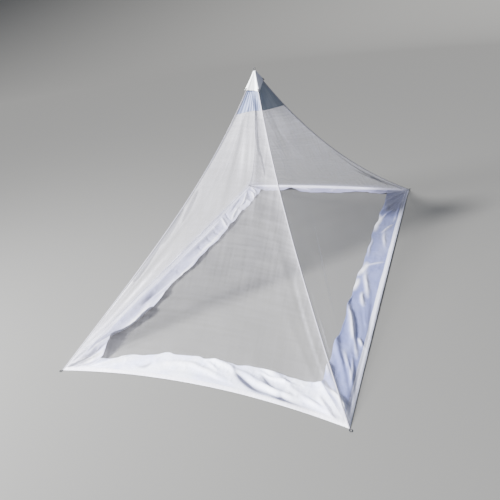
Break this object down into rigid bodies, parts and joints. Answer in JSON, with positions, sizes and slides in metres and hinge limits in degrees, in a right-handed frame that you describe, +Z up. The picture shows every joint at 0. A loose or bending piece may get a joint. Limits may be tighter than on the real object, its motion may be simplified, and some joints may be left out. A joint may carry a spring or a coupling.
{
  "type": "mosquito net canopy",
  "caption": "Hanging pyramid insect net for one sleeper, with sheer sagging sides, a cloth tip and a band of plain cloth turned in along the ground.",
  "frame": {"origin": "on the ground, at the middle of the plan between the four peg loops", "axes": "+Z up; +Y along the long sides, away from the end that the picture shows nearest; +X to the right along that front hem"},
  "size_m": [1.2162, 2.2114, 1.0048],
  "materials": {
    "net": "sheer white polyester mesh, even fine holes, matt",
    "cap_cloth": "thin blue-grey woven cloth, slightly see-through, satin",
    "tip_cloth": "white plain-woven cloth, satin",
    "band_cloth": "white slippery plain-woven lining cloth with a soft shine",
    "seam_tape": "white folded binding tape, matt, stitched",
    "loop_cord": "dark grey round woven cord, matt"
  },
  "bodies": {
    "root": {"net_front": "net", "cap_band_front": "cap_cloth", "ground_band_front": "band_cloth", "net_right": "net", "cap_band_right": "cap_cloth", "ground_band_right": "band_cloth", "net_back": "net", "cap_band_back": "cap_cloth", "ground_band_back": "band_cloth", "net_left": "net", "cap_band_left": "cap_cloth", "ground_band_left": "band_cloth", "seam_tape_front_left": "seam_tape", "peg_loop_front_left": "loop_cord", "seam_tape_front_right": "seam_tape", "peg_loop_front_right": "loop_cord", "seam_tape_back_right": "seam_tape", "peg_loop_back_right": "loop_cord", "seam_tape_back_left": "seam_tape", "peg_loop_back_left": "loop_cord", "tip": "tip_cloth", "top_loop": "loop_cord"}
  },
  "joints": []
}
